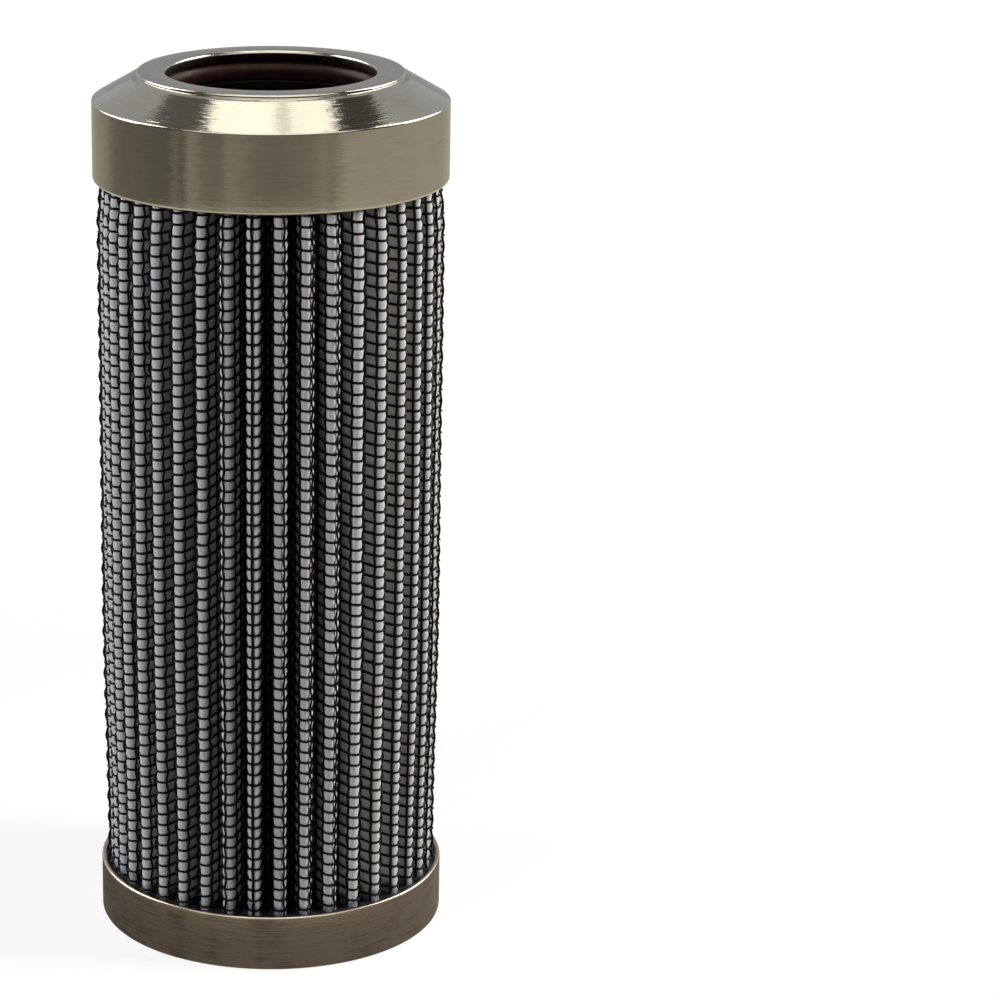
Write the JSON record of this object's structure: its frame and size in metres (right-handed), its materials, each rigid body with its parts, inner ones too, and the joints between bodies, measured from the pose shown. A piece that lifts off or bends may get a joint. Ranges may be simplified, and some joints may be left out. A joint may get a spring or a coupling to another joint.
{
  "type": "hydraulic filter element",
  "caption": "Hydraulic filter element: a pleated pack of glass-fibre media between woven wire meshes, potted into a coned open end cap with an O-ring bore and a closed metal cup.",
  "frame": {"origin": "centre of the closed end cap's underside", "axes": "+Z along the element's axis, from the closed end to the open end; -Y is the side the picture shows"},
  "size_m": [0.044, 0.044, 0.11],
  "materials": {
    "open_end_cap": "nickel-plated, turned",
    "closed_end_cap": "plated, brushed round",
    "core_tube": "bare rolled steel",
    "wire_mesh": "black epoxy coating, glossy",
    "filter_media": "glass-fibre felt",
    "scrim": "thin nonwoven",
    "potting": "cast adhesive, satin",
    "bore_o_ring": "satin rubber"
  },
  "bodies": {
    "root": {"closed_end_cap": "closed_end_cap", "closed_end_potting": "potting", "core_tube": "core_tube", "inner_mesh": "wire_mesh", "inner_scrim": "scrim", "filter_media": "filter_media", "outer_scrim": "scrim", "outer_mesh": "wire_mesh", "seam_bead": "potting", "open_end_potting": "potting", "open_end_cap": "open_end_cap", "bore_o_ring": "bore_o_ring"}
  },
  "joints": []
}
